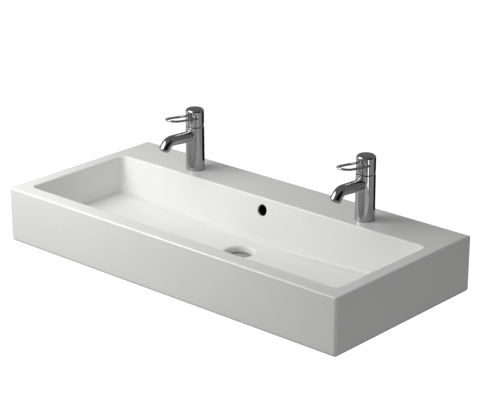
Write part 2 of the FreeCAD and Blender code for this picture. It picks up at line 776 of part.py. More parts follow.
def make_cover_ring(name):
    dome = "cap_radius - cap_wall - dome_gap"
    out = f"sqrt(({dome})^2 - ({COVER_SHOULDER} - ({PIVOT}))^2)"
    top = f"{PIVOT} + sqrt(({dome})^2 - cover_opening_radius^2)"
    return turned(name("cover_ring"), [
        ("cover_inner_radius", NUT_TOP),
        ("nut_thread_radius - fit_gap", NUT_TOP),
        ("nut_thread_radius - fit_gap", COVER_SHOULDER),
        (out, COVER_SHOULDER, (dome, 1)),
        ("cover_opening_radius", top),
        ("cover_opening_radius - cover_wall/2", f"{top} - cover_wall"),
        ("cover_inner_radius", COVER_SHOULDER),
    ])


def make_handle(name, spot):
    inside = "cap_radius - cap_wall"
    crown = "(cap_radius^2 + cap_crown^2)/(2*cap_crown)"
    cap = turned(name("handle_cap"), [
        (inside, CAP_LOW),
        ("cap_radius", CAP_LOW),
        ("cap_radius", f"{CAP_TOP} - cap_crown", (crown, 1)),
        ("0", CAP_TOP),
        ("0", CAVITY_TOP),
        (inside, CAVITY_TOP),
    ])
    shoulder = value(f"{CAP_TOP} - cap_crown - fit_gap")
    wide = value("2*cap_radius - fit_gap")
    fillet(cap, "cap_edge_radius", lambda box: box.ZMin > shoulder and box.XLength > wide)
    relief = sketch_on(cap, "YZ_Plane")
    back = "cap_radius + cut_margin"
    draw(relief, [
        ("0", CAP_LOW),
        ("0", f"{CAP_LOW} - cut_margin"),
        (back, f"{CAP_LOW} - cut_margin"),
        (back, f"{CAP_LOW} + ({back})*tan(cap_relief_angle)"),
    ])
    bore_across(cap, relief)
    socket = sketch_on(cap, "XY_Plane", ("0", "0", CAVITY_TOP))
    draw(socket, rectangle("-spindle_width/2 - fit_gap", "-spindle_depth/2 - fit_gap",
                           "spindle_width/2 + fit_gap", "spindle_depth/2 + fit_gap"))
    pocket(cap, socket, "socket_depth", along=True)
    start = ("0", f"{LOOP} + loop_start*sin(loop_rise)", "loop_start*cos(loop_rise)")
    legs = sketch_on(cap, "XZ_Plane", start, "loop_rise")
    for side in ("-", ""):
        draw_circle(legs, f"{side}loop_half_width", "0", "loop_rod_radius + fit_gap")
    pocket(cap, legs, "cap_radius + cut_margin", along=True)
    screw_hole = draw_circle(sketch_on(cap, "XZ_Plane"), "0", SCREW_HEIGHT, "screw_radius + fit_gap")
    pocket(cap, screw_hole, "cap_radius + cut_margin")
    button_hole = sketch_on(cap, "XZ_Plane", ("0", "0", "plug_button_depth - cap_radius"))
    pocket(cap, draw_circle(button_hole, "0", SCREW_HEIGHT, "plug_button_radius + fit_gap"),
           "plug_button_depth + cut_margin")

    loop = new_body(name("lever_loop"))
    path = draw(sketch_on(loop, "XY_Plane"), [
        ("loop_half_width", "-loop_start"),
        ("loop_half_width", "loop_half_width - loop_reach", ("loop_half_width", -1)),
        ("0", "-loop_reach", ("loop_half_width", -1)),
        ("-loop_half_width", "loop_half_width - loop_reach"),
        ("-loop_half_width", "-loop_start"),
    ], closed=False)
    section = sketch_on(loop, "XZ_Plane", ("0", "0", "loop_start"))
    sweep(loop, "AdditivePipe", path, draw_circle(section, "loop_half_width", "0", "loop_rod_radius"))

    screw = new_body(name("grub_screw"))
    blank = sketch_on(screw, "XY_Plane", ("0", "0", "spindle_depth/2 + fit_gap"))
    pad(screw, draw_circle(blank, "0", "0", "screw_radius"), "screw_length")
    key = sketch_on(screw, "XY_Plane", ("0", "0", "spindle_depth/2 + fit_gap + screw_length"))
    pocket(screw, draw(key, hexagon("screw_key_flats")), "screw_key_depth")
    button = turned(name("index_plug"), [
        ("0", "cap_radius - plug_button_depth + fit_gap"),
        ("plug_button_radius", "cap_radius - plug_button_depth + fit_gap"),
        ("plug_button_radius", "cap_radius - fit_gap - plug_button_radius^2/(2*cap_radius)"),
        ("0", "cap_radius - fit_gap"),
    ])
    seat(cap, "Placement", spot)
    seat(loop, "Placement", (spot[0], spot[1], f"{spot[2]} + {LOOP}"), "loop_rise")
    for body in (screw, button):
        seat(body, "Placement", (spot[0], spot[1], f"{spot[2]} + {SCREW_HEIGHT}"), "90")
    return [cap, loop, screw, button]


def horseshoe(label, high, thick):
    body = new_body(label)
    plate = sketch_on(body, "XY_Plane", ("0", "0", f"{high} - {thick}"))
    pad(body, draw_circle(plate, "0", "0", "clamp_radius"), thick)
    cuts = sketch_on(body, "XY_Plane", ("0", "0", high))
    draw(cuts, rectangle("-clamp_slot/2", "-clamp_slot_front", "clamp_slot/2", "clamp_radius + cut_margin"))
    draw_circle(cuts, "0", "-stud_front", "stud_radius + fit_gap")
    pocket(body, cuts, f"{thick} + fit_gap")
    return body


def make_fixings(name):
    gasket_low = "-ledge_wall - clamp_gasket_height"
    plate_low = f"{gasket_low} - clamp_plate_height"
    gasket = horseshoe(name("clamp_gasket"), "-ledge_wall", "clamp_gasket_height")
    plate = horseshoe(name("clamp_plate"), gasket_low, "clamp_plate_height")
    stud = new_body(name("fixing_stud"))
    foot = f"{plate_low} - stud_tail"
    rod = sketch_on(stud, "XY_Plane", ("0", "0", foot))
    pad(stud, draw_circle(rod, "0", "-stud_front", "stud_radius"), f"base_lift + stud_engagement - ({foot})")
    nut = new_body(name("fixing_nut"))
    blank = sketch_on(nut, "XY_Plane", ("0", "0", "0"))
    pad(nut, draw(blank, hexagon("fixing_nut_flats")), "fixing_nut_height")
    bore_across(nut, draw_circle(sketch_on(nut, "XY_Plane"), "0", "0", "stud_radius + fit_gap"))
    return [gasket, plate, stud], nut, plate_low


def make_mixer(side):
    """All pieces of one mixer, standing on the ledge over its tap hole."""
    sign = {"left": "-", "right": ""}[side]
    spot = (f"{sign}tap_pitch/2", "-tap_from_wall", "rim_height")

    def name(piece):
        return f"{side}_{piece}"

    upright = [make_mixer_body(name)]
    upright.append(ring(name("base_gasket"), "gasket_inner_radius", "body_base_radius - gasket_lip",
                        "0", "gasket_height"))
    upright += make_cartridge(name)
    upright.append(make_spindle(name))
    upright.append(make_cover_ring(name))
    fixings, nut, plate_low = make_fixings(name)
    upright += fixings
    for body in upright:
        seat(body, "Placement", spot)
    under = f"{spot[2]} + {plate_low} - fixing_nut_height"
    seat(nut, "Placement", (spot[0], f"{spot[1]} - stud_front", under))
    return upright + [nut] + make_aerator(name, spot) + make_handle(name, spot)


# Heights in the waste, from the flat seat in the drain recess.
BOSS_LOW = "recess_depth - boss_height"
NUT_LOW = f"{BOSS_LOW} - lower_seal_height - waste_nut_height"
TAIL_LOW = f"{BOSS_LOW} - tail_length"
RELIEF_LOW = f"{TAIL_LOW} + trap_thread"
RELIEF_TOP = f"{RELIEF_LOW} + relief_width"
HUB_TOP = f"{BOSS_LOW} - spider_below_boss"
HUB_LOW = f"{HUB_TOP} - spider_height"
LIP_TOP = "seal_height + lip_height"
DISH_RADIUS = "flange_radius - lip_width"


def ceramic_at(radius):
    """Height of the ceramic's conical seat."""
    return f"(({radius}) - seat_radius)*seat_drop/(seat_radius - drain_hole_radius)"


def flange_at(radius):
    """Height of the flange's underside."""
    return f"seal_height + (({radius}) - flange_radius)*seat_drop/(flange_radius - waste_radius)"


def make_waste_body():
    body = turned("waste_body", [
        ("waste_bore", TAIL_LOW),
        ("waste_radius", TAIL_LOW),
        ("waste_radius", RELIEF_LOW),
        ("waste_radius - relief_depth", RELIEF_LOW),
        ("waste_radius - relief_depth", RELIEF_TOP),
        ("waste_radius", RELIEF_TOP),
        ("waste_radius", flange_at("waste_radius")),
        ("flange_radius", "seal_height"),
        ("flange_radius", LIP_TOP),
        (DISH_RADIUS, LIP_TOP),
        ("waste_bore", f"{LIP_TOP} - dish_depth"),
    ])
    high = value(f"{LIP_TOP} - fit_gap")
    fillet(body, "lip_edge_radius", lambda box: box.ZMin > high)
    inside = "waste_bore + fit_gap"
    for plan in (rectangle(f"-({inside})", "-spider_bar/2", inside, "spider_bar/2"),
                 rectangle("-spider_bar/2", f"-({inside})", "spider_bar/2", inside)):
        pad(body, draw(sketch_on(body, "XY_Plane", ("0", "0", HUB_LOW)), plan), "spider_height")
    hub = sketch_on(body, "XY_Plane", ("0", "0", HUB_LOW))
    pad(body, draw_circle(hub, "0", "0", "hub_radius"), "spider_height")
    eye = sketch_on(body, "XY_Plane", ("0", "0", HUB_LOW))
    pocket(body, draw_circle(eye, "0", "0", "click_radius + fit_gap"), "spider_height + fit_gap", along=True)
    slots = sketch_on(body, "XZ_Plane")
    middle = f"({BOSS_LOW} + duct_wall + {flange_at('waste_radius')})/2"
    draw(slots, rectangle("-slot_width/2", f"{middle} - slot_height/2",
                          "slot_width/2", f"{middle} + slot_height/2"))
    bore_across(body, slots)
    return body


def make_waste_nut():
    nut = new_body("waste_nut")
    blank = sketch_on(nut, "XY_Plane", ("0", "0", NUT_LOW))
    pad(nut, draw(blank, hexagon("waste_nut_flats")), "waste_nut_height")
    collar_low = f"{NUT_LOW} + waste_nut_height - waste_nut_collar_height"
    collar = sketch_on(nut, "XY_Plane", ("0", "0", collar_low))
    pad(nut, draw_circle(collar, "0", "0", "waste_nut_collar_radius"), "waste_nut_collar_height")
    bore_across(nut, draw_circle(sketch_on(nut, "XY_Plane"), "0", "0", "waste_radius + fit_gap"))
    return nut


def make_plug():
    """A domed cap on a core whose lip seal closes in the flange's dish; then the stem and its cartridge."""
    rim_low = f"{LIP_TOP} + plug_gap"
    core_low = f"{rim_low} - plug_core_height"
    foot_top = f"{core_low} + plug_foot_height"
    boss_low = f"{core_low} - plug_boss_height"
    crown = "(plug_radius^2 + plug_crown^2)/(2*plug_crown)"
    plug = turned("waste_plug", [
        ("0", boss_low),
        ("plug_boss_radius", boss_low),
        ("plug_boss_radius", core_low),
        ("plug_foot_radius", core_low),
        ("plug_foot_radius", foot_top),
        ("plug_core_radius", foot_top),
        ("plug_core_radius", rim_low),
        ("plug_radius", rim_low),
        ("plug_radius", f"{rim_low} + plug_rim", (crown, 1)),
        ("0", f"{rim_low} + plug_rim + plug_crown"),
    ])
    wide = value("2*plug_radius - fit_gap")
    shoulder = value(f"{rim_low} + plug_rim - fit_gap")
    fillet(plug, "plug_edge_radius", lambda box: box.ZMin > shoulder and box.XLength > wide)
    stem_hole = sketch_on(plug, "XY_Plane", ("0", "0", boss_low))
    pocket(plug, draw_circle(stem_hole, "0", "0", "stem_radius + fit_gap"), "stem_seat_depth", along=True)
    inner = "plug_core_radius + fit_gap"
    dish_here = f"{DISH_RADIUS} + ({foot_top} - ({LIP_TOP}))*({DISH_RADIUS} - waste_bore)/dish_depth"
    closes = f"{dish_here} - running_gap"
    seal = turned("plug_seal", [
        (inner, foot_top),
        (closes, foot_top),
        (closes, f"{foot_top} + plug_seal_lip"),
        ("plug_seal_top_radius", rim_low),
        (inner, rim_low),
    ])

    stem_top = f"{boss_low} + stem_seat_depth"
    stem_low = f"{stem_top} - stem_length"
    stem = turned("plug_stem", [
        ("0", stem_low),
        ("stem_foot_radius", stem_low),
        ("stem_foot_radius", f"{stem_low} + stem_foot_height"),
        ("stem_radius", f"{stem_low} + stem_foot_height"),
        ("stem_radius", stem_top),
        ("0", stem_top),
    ])

    click_top = f"{HUB_TOP} + click_above_hub"
    click_low = f"{HUB_LOW} - click_below_hub"
    click = turned("click_cartridge", [
        ("0", click_low),
        ("click_radius", click_low),
        ("click_radius", HUB_TOP),
        ("click_flange_radius", HUB_TOP),
        ("click_flange_radius", f"{HUB_TOP} + click_flange_height"),
        ("click_radius", f"{HUB_TOP} + click_flange_height"),
        ("click_radius", click_top),
        ("stem_radius + fit_gap", click_top),
        ("stem_radius + fit_gap", f"{click_top} - click_roof"),
        ("click_radius - click_wall", f"{click_top} - click_roof"),
        ("click_radius - click_wall", f"{click_low} + click_floor"),
        ("0", f"{click_low} + click_floor"),
    ])
    return [plug, seal, stem, click]


def make_waste():
    body = make_waste_body()
    near = "drain_hole_radius + seal_margin"
    far = "flange_radius - seal_margin"
    top_seal = turned("waste_top_seal", [
        (near, f"{ceramic_at(near)} + fit_gap"),
        (far, f"{ceramic_at(far)} + fit_gap"),
        (far, f"{flange_at(far)} - fit_gap"),
        (near, f"{flange_at(near)} - fit_gap"),
    ])
    lower_seal = ring("waste_lower_seal", "waste_radius + fit_gap", "lower_seal_radius",
                      f"{BOSS_LOW} - lower_seal_height", BOSS_LOW)
    pieces = [body, top_seal, lower_seal, make_waste_nut()] + make_plug()
    for piece in pieces:
        seat(piece, "Placement", ("0", "-drain_from_wall", f"{DRAIN_FLOOR} - recess_depth"))
    return pieces


nodes = [make_basin()] + make_waste() + make_mixer("left") + make_mixer("right")
doc.recompute()

for item in doc.Objects:
    if "Invalid" in item.State or "Error" in item.State:
        raise RuntimeError(f"{item.Label} failed: {item.State}")
for node in nodes:
    if node.Shape.isNull() or not node.Shape.isValid() or not node.Shape.Solids:
        raise RuntimeError(f"{node.Label} has no valid solid")

os.makedirs("parts", exist_ok=True)
for node in nodes:
    node.Shape.exportStep(f"parts/{node.Label}.step")
print(len(nodes), "nodes written")
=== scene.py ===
import json
import math

import bpy
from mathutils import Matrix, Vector


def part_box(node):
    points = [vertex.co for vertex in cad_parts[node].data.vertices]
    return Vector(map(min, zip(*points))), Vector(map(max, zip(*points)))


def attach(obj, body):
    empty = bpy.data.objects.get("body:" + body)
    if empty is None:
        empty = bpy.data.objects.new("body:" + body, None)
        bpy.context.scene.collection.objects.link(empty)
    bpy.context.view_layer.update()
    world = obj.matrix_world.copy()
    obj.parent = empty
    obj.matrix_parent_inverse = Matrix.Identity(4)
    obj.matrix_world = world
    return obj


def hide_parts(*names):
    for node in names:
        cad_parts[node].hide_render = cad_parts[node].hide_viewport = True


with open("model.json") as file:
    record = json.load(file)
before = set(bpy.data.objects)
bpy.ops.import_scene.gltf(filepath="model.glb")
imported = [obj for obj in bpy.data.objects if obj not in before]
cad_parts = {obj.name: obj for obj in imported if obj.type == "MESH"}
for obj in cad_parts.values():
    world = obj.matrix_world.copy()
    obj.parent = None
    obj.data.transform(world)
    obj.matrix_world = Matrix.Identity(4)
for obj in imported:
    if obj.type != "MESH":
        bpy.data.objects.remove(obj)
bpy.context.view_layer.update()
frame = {"nodes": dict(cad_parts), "record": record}

# Wall-hung hand basin with two mixers. Metres, +Z up, the wall is the plane Y = 0.
MM = 0.001


# Finishes: one function makes a node, and each finish has its own function.

def linear(code):
    """An sRGB hex colour as linear red, green, blue and full alpha, by the curve of the sRGB standard."""
    parts = [int(code[place:place + 2], 16) / 255 for place in (0, 2, 4)]
    linear_parts = [part / 12.92 if part <= 0.04045 else ((part + 0.055) / 1.055) ** 2.4 for part in parts]
    return linear_parts + [1.0]


def per_metre(size_mm):
    """Texture scale for a pattern whose marks are this many millimetres apart."""
    return 1000 / size_mm


def add(tree, kind, settings, inputs):
    """Add a node with its settings; an input is a plain value or another node's output."""
    node = tree.nodes.new(f"ShaderNode{kind}")
    for name, setting in settings.items():
        setattr(node, name, setting)
    for name, wanted in inputs.items():
        if isinstance(wanted, bpy.types.NodeSocket):
            tree.links.new(wanted, node.inputs[name])
        else:
            node.inputs[name].default_value = wanted
    return node.outputs


def new_finish(name, constants):
    """A material whose shader holds the constants, with its node tree and its place coordinates."""
    finish = bpy.data.materials.new(name)
    finish.use_nodes = True
    shader = finish.node_tree.nodes["Principled BSDF"]
    for socket, setting in constants.items():
        shader.inputs[socket].default_value = setting
    place = add(finish.node_tree, "TexCoord", {}, {})["Object"]
    return finish, finish.node_tree, place


def drive(tree, sockets):
    """Link node outputs to the shader's sockets."""
    shader = tree.nodes["Principled BSDF"]
    for name, output in sockets.items():
        tree.links.new(output, shader.inputs[name])


# Mix nodes of colours and of plain numbers: the places of their sockets, several of which share a name.
MIX_FACTOR, MIX_FIRST, MIX_SECOND, MIX_RESULT = 0, 6, 7, 2
BLEND_FACTOR, BLEND_FIRST, BLEND_SECOND, BLEND_RESULT = 0, 2, 3, 0
# A wave texture at scale 1 has this many bands in a metre.
WAVE_BANDS = 20 / math.tau


# The bowl's leaning back wall, how deep the glaze reaches into its overflow hole, and the bowl's bounds.
BOWL_RIM, BOWL_FLOOR = 70 * MM, -41 * MM
BACK_AT_RIM, BACK_AT_FLOOR = -121 * MM, -147 * MM
HOLE_EDGE = 5 * MM
BOWL_HALF_WIDTH, BOWL_HALF_DEPTH, BOWL_MIDDLE = 467 * MM, 160 * MM, -275 * MM
# The overflow's duct behind the back wall.
DUCT_HALF_WIDTH, DUCT_TOP, DUCT_FLOOR, DUCT_BACK = 15.5 * MM, 55.5 * MM, -72.5 * MM, -85.5 * MM
# The glaze's uneven end lies between these two planes before the wall.
GLAZE_END_FAR, GLAZE_END_NEAR = -3 * MM, -1 * MM
# The foot is raw up to this height, and raw clay is this much rougher than glaze.
RAW_FOOT_TOP = -65.6 * MM
RAW_ROUGHNESS = 0.6
# The roughness that scouring adds at the floor, and the height in the bowl at which it has faded out.
SCOURED_ROUGHNESS = 0.4
SCOURED_TOP = 0 * MM
# The upward part of the surface's normal where the painted shade in the bowl's foot begins and where it
# is full, coming from a wall and coming from the floor.
FOOT_SHADE_FROM_WALL, FOOT_SHADE_OFF_WALL = 0.25, 0.65
FOOT_SHADE_FROM_FLOOR, FOOT_SHADE_OFF_FLOOR = 0.99, 0.8


def glazed_vitreous_china():
    """Slip-cast vitreous china: a hard clear gloss over a faintly clouded white, rippled like orange
    peel. The face against the wall and the foot that stood on the kiln shelf are raw, matt and a little
    grey. The overflow's duct behind the bowl is raw, and its inside is painted near black as shade, so
    that its hole looks black."""
    finish, tree, place = new_finish("glazed_vitreous_china", {"IOR": 1.5})
    axes = add(tree, "SeparateXYZ", {}, {"Vector": place})
    cloud = add(tree, "TexNoise", {}, {"Vector": place, "Scale": per_metre(90), "Detail": 3.0})["Fac"]
    grit = add(tree, "TexNoise", {}, {"Vector": place, "Scale": per_metre(1.2), "Detail": 4.0})["Fac"]
    ripple = add(tree, "TexNoise", {}, {"Vector": place, "Scale": per_metre(14), "Detail": 1.0})["Fac"]
    # The glaze stops one to three millimetres short of the wall, along an uneven line.
    run = add(tree, "MapRange", {}, {
        "Value": cloud, "To Min": GLAZE_END_FAR, "To Max": GLAZE_END_NEAR})["Result"]
    behind = add(tree, "Math", {"operation": "GREATER_THAN"}, {0: axes["Y"], 1: run})["Value"]
    under = add(tree, "Math", {"operation": "LESS_THAN"}, {0: axes["Z"], 1: RAW_FOOT_TOP})["Value"]
    raw = add(tree, "Math", {"operation": "MAXIMUM"}, {0: behind, 1: under})["Value"]
    # The duct lies behind the leaning back wall of the bowl.
    wall = add(tree, "MapRange", {"clamp": False}, {
        "Value": axes["Z"], "From Min": BOWL_FLOOR, "From Max": BOWL_RIM,
        "To Min": BACK_AT_FLOOR + HOLE_EDGE, "To Max": BACK_AT_RIM + HOLE_EDGE})["Result"]
    duct_raw_and_painted_shade = add(tree, "Math", {"operation": "GREATER_THAN"}, {0: axes["Y"], 1: wall})["Value"]
    aside = add(tree, "Math", {"operation": "ABSOLUTE"}, {0: axes["X"]})["Value"]
    in_duct = add(tree, "Math", {"operation": "LESS_THAN"}, {0: aside, 1: DUCT_HALF_WIDTH})["Value"]
    below_top = add(tree, "Math", {"operation": "LESS_THAN"}, {0: axes["Z"], 1: DUCT_TOP})["Value"]
    above_floor = add(tree, "Math", {"operation": "GREATER_THAN"}, {
        0: axes["Z"], 1: DUCT_FLOOR})["Value"]
    before_back = add(tree, "Math", {"operation": "LESS_THAN"}, {0: axes["Y"], 1: DUCT_BACK})["Value"]
    for bound in (in_duct, below_top, above_floor, before_back):
        duct_raw_and_painted_shade = add(tree, "Math", {"operation": "MULTIPLY"}, {0: duct_raw_and_painted_shade, 1: bound})["Value"]
    raw = add(tree, "Math", {"operation": "MAXIMUM"}, {0: raw, 1: duct_raw_and_painted_shade})["Value"]
    white = add(tree, "Mix", {"data_type": "RGBA"}, {
        MIX_FACTOR: cloud, MIX_FIRST: linear("F0F0EF"), MIX_SECOND: linear("F5F5F4")})[MIX_RESULT]
    clay = add(tree, "Mix", {"data_type": "RGBA"}, {
        MIX_FACTOR: grit, MIX_FIRST: linear("D9D6CF"), MIX_SECOND: linear("E8E5DF")})[MIX_RESULT]
    colour = add(tree, "Mix", {"data_type": "RGBA"}, {
        MIX_FACTOR: raw, MIX_FIRST: white, MIX_SECOND: clay})[MIX_RESULT]
    # Painted shade: inside the overflow's duct the colour is near black, standing in for the dark there.
    colour = add(tree, "Mix", {"data_type": "RGBA"}, {
        MIX_FACTOR: duct_raw_and_painted_shade, MIX_FIRST: colour, MIX_SECOND: linear("2A2928")})[MIX_RESULT]
    # Scouring has made the gloss softer towards the bowl's foot.
    from_middle = add(tree, "Math", {"operation": "SUBTRACT"}, {
        0: axes["Y"], 1: BOWL_MIDDLE})["Value"]
    along = add(tree, "Math", {"operation": "ABSOLUTE"}, {0: from_middle})["Value"]
    between_rims = add(tree, "Math", {"operation": "LESS_THAN"}, {0: along, 1: BOWL_HALF_DEPTH})["Value"]
    between_ends = add(tree, "Math", {"operation": "LESS_THAN"}, {0: aside, 1: BOWL_HALF_WIDTH})["Value"]
    in_bowl = add(tree, "Math", {"operation": "MULTIPLY"}, {0: between_rims, 1: between_ends})["Value"]
    scoured = add(tree, "MapRange", {}, {
        "Value": axes["Z"], "From Min": BOWL_FLOOR, "From Max": SCOURED_TOP,
        "To Min": SCOURED_ROUGHNESS, "To Max": 0.0})["Result"]
    scoured = add(tree, "Math", {"operation": "MULTIPLY"}, {0: scoured, 1: in_bowl})["Value"]
    # Painted shade: the rounded foot between the walls and the floor is coloured a little greyer.
    facing = add(tree, "SeparateXYZ", {}, {"Vector": add(tree, "NewGeometry", {}, {})["Normal"]})["Z"]
    off_wall = add(tree, "MapRange", {}, {
        "Value": facing, "From Min": FOOT_SHADE_FROM_WALL, "From Max": FOOT_SHADE_OFF_WALL})["Result"]
    off_floor = add(tree, "MapRange", {}, {
        "Value": facing, "From Min": FOOT_SHADE_FROM_FLOOR, "From Max": FOOT_SHADE_OFF_FLOOR})["Result"]
    above_drain = add(tree, "Math", {"operation": "GREATER_THAN"}, {
        0: axes["Z"], 1: BOWL_FLOOR})["Value"]
    low_down = add(tree, "Math", {"operation": "LESS_THAN"}, {0: axes["Z"], 1: SCOURED_TOP})["Value"]
    foot_painted_shade = in_bowl
    for bound in (off_wall, off_floor, above_drain, low_down):
        foot_painted_shade = add(tree, "Math", {"operation": "MULTIPLY"}, {0: foot_painted_shade, 1: bound})["Value"]
    # The grey of the painted shade in the bowl's foot.
    colour = add(tree, "Mix", {"data_type": "RGBA"}, {
        MIX_FACTOR: foot_painted_shade, MIX_FIRST: colour, MIX_SECOND: linear("E3E3E2")})[MIX_RESULT]
    gloss = add(tree, "MapRange", {}, {"Value": cloud, "To Min": 0.06, "To Max": 0.12})["Result"]
    gloss = add(tree, "Math", {"operation": "ADD"}, {0: gloss, 1: scoured})["Value"]
    dull = add(tree, "Math", {"operation": "MULTIPLY"}, {0: raw, 1: RAW_ROUGHNESS})["Value"]
    roughness = add(tree, "Math", {"operation": "ADD"}, {0: gloss, 1: dull})["Value"]
    waves = add(tree, "Bump", {}, {"Height": ripple, "Strength": 0.12, "Distance": 0.15 * MM})["Normal"]
    grain = add(tree, "Bump", {}, {
        "Height": grit, "Strength": dull, "Distance": 0.1 * MM, "Normal": waves})["Normal"]
    drive(tree, {"Base Color": colour, "Roughness": roughness, "Normal": grain})
    return finish


def chrome_plate(name, colour):
    """Bright chrome over polished brass: a mirror that is slightly softer where hands have wiped it."""
    finish, tree, place = new_finish(name, {"Metallic": 1.0, "Base Color": linear(colour)})
    wiped = add(tree, "TexNoise", {}, {"Vector": place, "Scale": per_metre(22), "Detail": 4.0})["Fac"]
    buffed = add(tree, "TexNoise", {}, {"Vector": place, "Scale": per_metre(9), "Detail": 1.0})["Fac"]
    roughness = add(tree, "MapRange", {}, {
        "Value": wiped, "From Min": 0.35, "From Max": 0.7, "To Min": 0.05, "To Max": 0.11})["Result"]
    waves = add(tree, "Bump", {}, {"Height": buffed, "Strength": 0.05, "Distance": 0.1 * MM})["Normal"]
    drive(tree, {"Roughness": roughness, "Normal": waves})
    return finish


def turned_brass():
    """Free-cutting brass straight from the lathe: yellow metal with fine level tool rings."""
    finish, tree, place = new_finish("turned_brass", {"Metallic": 1.0})
    tarnish = add(tree, "TexNoise", {}, {"Vector": place, "Scale": per_metre(8), "Detail": 4.0})["Fac"]
    # The rings are coarser than a finishing cut leaves, so that they show.
    rings = add(tree, "TexWave", {"wave_type": "BANDS", "bands_direction": "Z"}, {
        "Vector": place, "Scale": per_metre(0.79) / WAVE_BANDS, "Distortion": 0.4})["Fac"]
    colour = add(tree, "Mix", {"data_type": "RGBA"}, {
        MIX_FACTOR: tarnish, MIX_FIRST: linear("C2A35A"), MIX_SECOND: linear("D9BE78")})[MIX_RESULT]
    roughness = add(tree, "MapRange", {}, {"Value": tarnish, "To Min": 0.22, "To Max": 0.38})["Result"]
    cuts = add(tree, "Bump", {}, {"Height": rings, "Strength": 0.25, "Distance": 0.05 * MM})["Normal"]
    drive(tree, {"Base Color": colour, "Roughness": roughness, "Normal": cuts})
    return finish


def zinc_plated_steel():
    """Bright zinc on cold-drawn steel: cool grey with the soft mottle of a plating bath."""
    finish, tree, place = new_finish("zinc_plated_steel", {"Metallic": 1.0})
    mottle = add(tree, "TexNoise", {}, {"Vector": place, "Scale": per_metre(3), "Detail": 5.0})["Fac"]
    colour = add(tree, "Mix", {"data_type": "RGBA"}, {
        MIX_FACTOR: mottle, MIX_FIRST: linear("A3A7AC"), MIX_SECOND: linear("C4C7CA")})[MIX_RESULT]
    roughness = add(tree, "MapRange", {}, {"Value": mottle, "To Min": 0.25, "To Max": 0.45})["Result"]
    drive(tree, {"Base Color": colour, "Roughness": roughness})
    return finish


def moulded_rubber():
    """Moulded EPDM rubber: matt black with a greyish bloom and a fine skin."""
    finish, tree, place = new_finish("moulded_rubber", {"IOR": 1.5})
    bloom = add(tree, "TexNoise", {}, {"Vector": place, "Scale": per_metre(6), "Detail": 5.0})["Fac"]
    skin = add(tree, "TexNoise", {}, {"Vector": place, "Scale": per_metre(0.5), "Detail": 2.0})["Fac"]
    colour = add(tree, "Mix", {"data_type": "RGBA"}, {
        MIX_FACTOR: bloom, MIX_FIRST: linear("1C1C1D"), MIX_SECOND: linear("333334")})[MIX_RESULT]
    roughness = add(tree, "MapRange", {}, {"Value": bloom, "To Min": 0.55, "To Max": 0.8})["Result"]
    grain = add(tree, "Bump", {}, {"Height": skin, "Strength": 0.3, "Distance": 0.05 * MM})["Normal"]
    drive(tree, {"Base Color": colour, "Roughness": roughness, "Normal": grain})
    return finish


def lapped_alumina():
    """Sintered alumina lapped flat: a cream white with a silky, very even sheen."""
    finish, tree, place = new_finish("lapped_alumina", {"IOR": 1.7})
    grain = add(tree, "TexNoise", {}, {"Vector": place, "Scale": per_metre(0.8), "Detail": 3.0})["Fac"]
    colour = add(tree, "Mix", {"data_type": "RGBA"}, {
        MIX_FACTOR: grain, MIX_FIRST: linear("E6E1D6"), MIX_SECOND: linear("F1EEE6")})[MIX_RESULT]
    roughness = add(tree, "MapRange", {}, {"Value": grain, "To Min": 0.18, "To Max": 0.28})["Result"]
    drive(tree, {"Base Color": colour, "Roughness": roughness})
    return finish


def moulded_acetal():
    """Injection-moulded acetal: waxy off-white with faint flow marks."""
    finish, tree, place = new_finish("moulded_acetal", {"IOR": 1.48})
    flow = add(tree, "TexNoise", {}, {
        "Vector": place, "Scale": per_metre(5), "Detail": 2.0, "Distortion": 1.5})["Fac"]
    colour = add(tree, "Mix", {"data_type": "RGBA"}, {
        MIX_FACTOR: flow, MIX_FIRST: linear("D3D3CF"), MIX_SECOND: linear("E2E2DE")})[MIX_RESULT]
    roughness = add(tree, "MapRange", {}, {"Value": flow, "To Min": 0.35, "To Max": 0.5})["Result"]
    drive(tree, {"Base Color": colour, "Roughness": roughness})
    return finish


def metallised_plastic():
    """Moulded ABS under a thin bright metal film: like chrome but softer and darker."""
    finish, tree, place = new_finish("metallised_plastic", {
        "Metallic": 1.0, "Base Color": linear("9A9CA0")})
    haze = add(tree, "TexNoise", {}, {"Vector": place, "Scale": per_metre(2), "Detail": 2.0})["Fac"]
    roughness = add(tree, "MapRange", {}, {"Value": haze, "To Min": 0.12, "To Max": 0.2})["Result"]
    drive(tree, {"Roughness": roughness})
    return finish


finishes = {
    "glazed_ceramic": glazed_vitreous_china(),
    "chrome": chrome_plate("polished_chrome_plate", "B4B4B5"),
    "brass": turned_brass(),
    "steel": zinc_plated_steel(),
    "rubber": moulded_rubber(),
    "disc_ceramic": lapped_alumina(),
    "cartridge_plastic": moulded_acetal(),
    "button_plastic": metallised_plastic(),
}
# Hard water has left the waste's chrome greyer than that of the mixers.
greyed_chrome = chrome_plate("greyed_chrome_plate", "8A8A8B")
own_finishes = {"waste_body": greyed_chrome, "waste_plug": greyed_chrome}
slots = {part["node"]: part["material_slot"] for part in frame["record"]["subparts"]}


def finish_of(node):
    """The finish of a CAD node: that of its slot, unless it has its own."""
    return own_finishes.get(node, finishes[slots[node]])


for node in slots:
    for slot in frame["nodes"][node].material_slots:
        slot.material = finish_of(node)


# Threads, which the solids leave as plain cylinders: grooves cut to their real pitch.

# The studs have the coarse pitch of their 8 mm size, and one turn to spare below and one above.
STUD_PITCH = 1.25 * MM
STUD_STEPS = 24
STUD_SPARE_TURNS = 2
